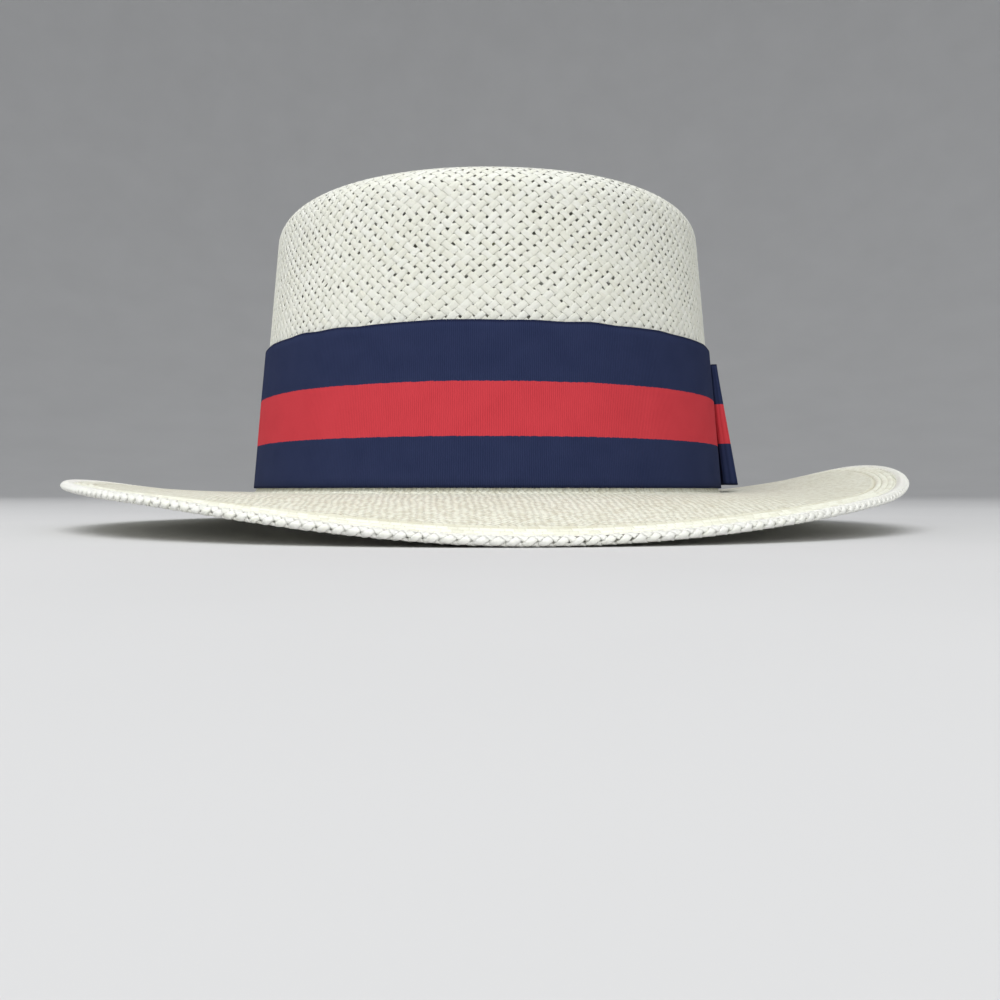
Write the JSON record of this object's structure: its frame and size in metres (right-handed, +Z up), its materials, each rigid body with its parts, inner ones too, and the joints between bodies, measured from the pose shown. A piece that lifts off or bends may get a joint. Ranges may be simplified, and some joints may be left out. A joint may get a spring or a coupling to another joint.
{
  "type": "straw boater hat",
  "caption": "Stiff straw boater with a flat-topped open-weave crown, a curled brim with plaited edge, and a striped ribbon with a flat side bow.",
  "frame": {"origin": "on the surface the hat rests on, below the centre of the rim's outline", "axes": "-Y towards the front of the hat, +X towards the wearer's left, where the bow is, +Z up through the crown"},
  "size_m": [0.298, 0.324, 0.1082],
  "materials": {
    "crown_straw": "ivory straw in an open diagonal weave, slightly glossy strands",
    "brim_straw": "ivory straw in a close basket weave",
    "plait_straw": "bright ivory straw plait",
    "ribbon": "ribbed grosgrain, navy with a red middle stripe",
    "bow_ribbon": "ribbed grosgrain, navy with a red middle stripe",
    "knot_ribbon": "ribbed grosgrain, navy with a red middle stripe",
    "sweatband_cloth": "matt woven band"
  },
  "bodies": {
    "root": {"crown": "crown_straw", "brim": "brim_straw", "edge_plait": "plait_straw", "ribbon_band": "ribbon", "bow_loops": "bow_ribbon", "bow_knot": "knot_ribbon", "sweatband": "sweatband_cloth"}
  },
  "joints": []
}
